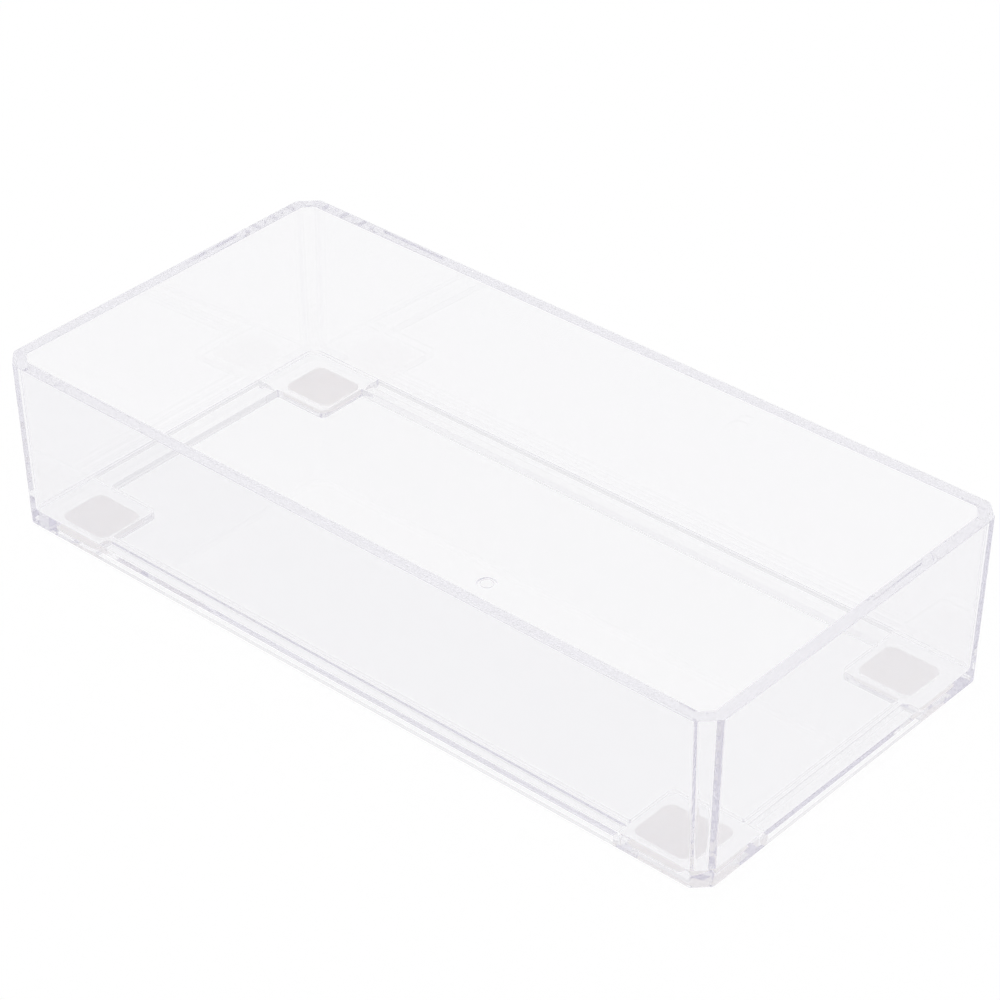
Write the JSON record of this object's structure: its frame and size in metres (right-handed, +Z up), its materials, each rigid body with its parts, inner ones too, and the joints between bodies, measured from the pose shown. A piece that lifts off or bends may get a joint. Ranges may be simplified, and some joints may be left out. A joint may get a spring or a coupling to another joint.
{
  "type": "makeup organizer tray",
  "caption": "Clear moulded open tray for keeping make-up and small things together, with a stacking plinth and soft non-slip pads underneath.",
  "frame": {"origin": "under the middle of the tray, in the plane of the pads' undersides, on which it rests", "axes": "+X along the long side, +Y from front to back, +Z up out of the open top"},
  "size_m": [0.2344, 0.1144, 0.0516],
  "materials": {
    "clear_polystyrene": "polished, clear, with a faint lavender cast where it is seen through a long way, as at its edges",
    "soft_pad": "milky translucent silicone, matt",
    "adhesive_film": "clear double-sided adhesive film"
  },
  "bodies": {
    "root": {"tray": "clear_polystyrene", "pad_front_left": "soft_pad", "pad_front_right": "soft_pad", "pad_back_left": "soft_pad", "pad_back_right": "soft_pad", "film_front_left": "adhesive_film", "film_front_right": "adhesive_film", "film_back_left": "adhesive_film", "film_back_right": "adhesive_film"}
  },
  "joints": []
}
